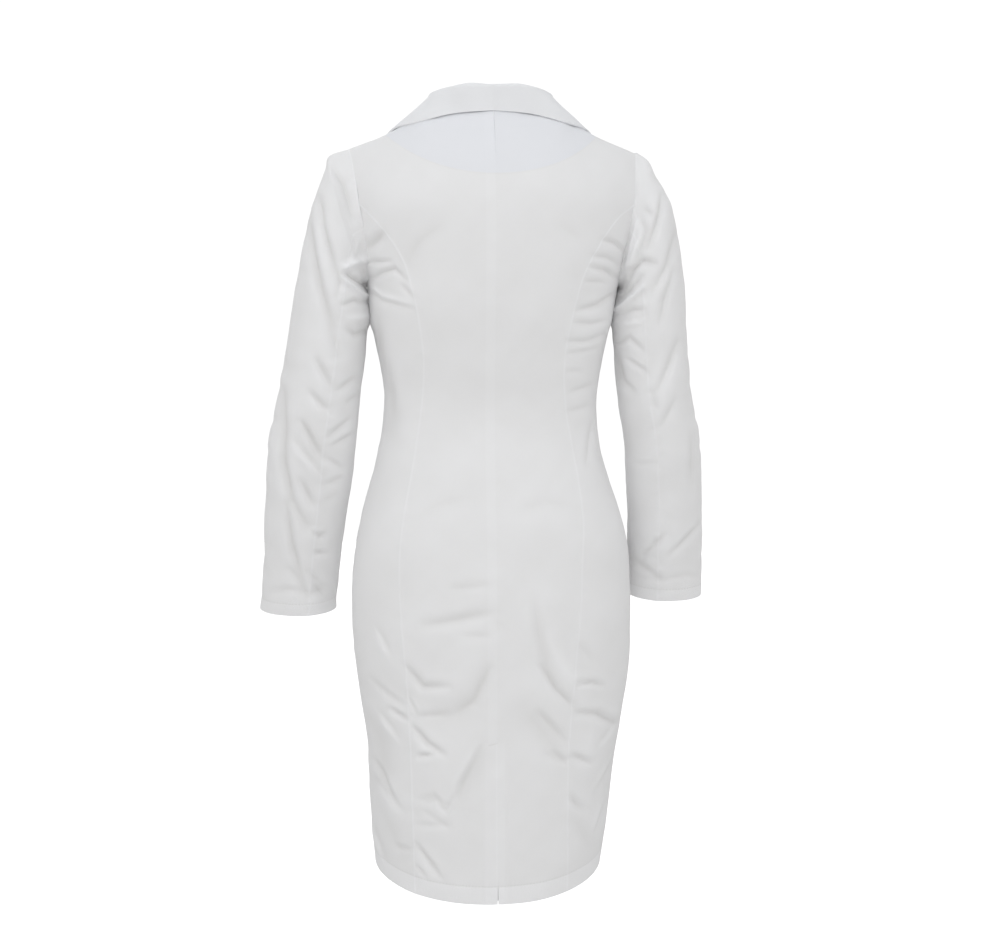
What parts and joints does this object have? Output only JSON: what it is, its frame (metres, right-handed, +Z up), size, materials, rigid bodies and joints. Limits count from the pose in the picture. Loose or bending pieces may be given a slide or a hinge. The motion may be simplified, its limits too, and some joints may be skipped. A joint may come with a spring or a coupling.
{
  "type": "office dress",
  "caption": "Knee-length tailored office dress with a notched collar, long two-piece sleeves, princess seams, a buttoned front overlap and a back vent, in its worn hollow form.",
  "frame": {"origin": "at the base of the neck, midway between the shoulders, where the wearer holds the dress up", "axes": "+Z up along the wearer's height, -Y towards the front, +X towards the wearer's left"},
  "size_m": [0.602, 0.2745, 1.0325],
  "materials": {
    "suiting": "smooth matt off-white stretch suiting",
    "button": "glossy off-white"
  },
  "bodies": {
    "root": {"back_left": "suiting", "back_right": "suiting", "side_back_left": "suiting", "side_back_right": "suiting", "side_front_left": "suiting", "side_front_right": "suiting", "front_left": "suiting", "front_right": "suiting", "lapel_left": "suiting", "lapel_right": "suiting", "collar": "suiting", "sleeve_upper_left": "suiting", "sleeve_upper_right": "suiting", "sleeve_under_left": "suiting", "sleeve_under_right": "suiting", "vent_underlap": "suiting", "button_1": "button", "button_2": "button", "button_3": "button", "button_4": "button", "button_5": "button"}
  },
  "joints": []
}
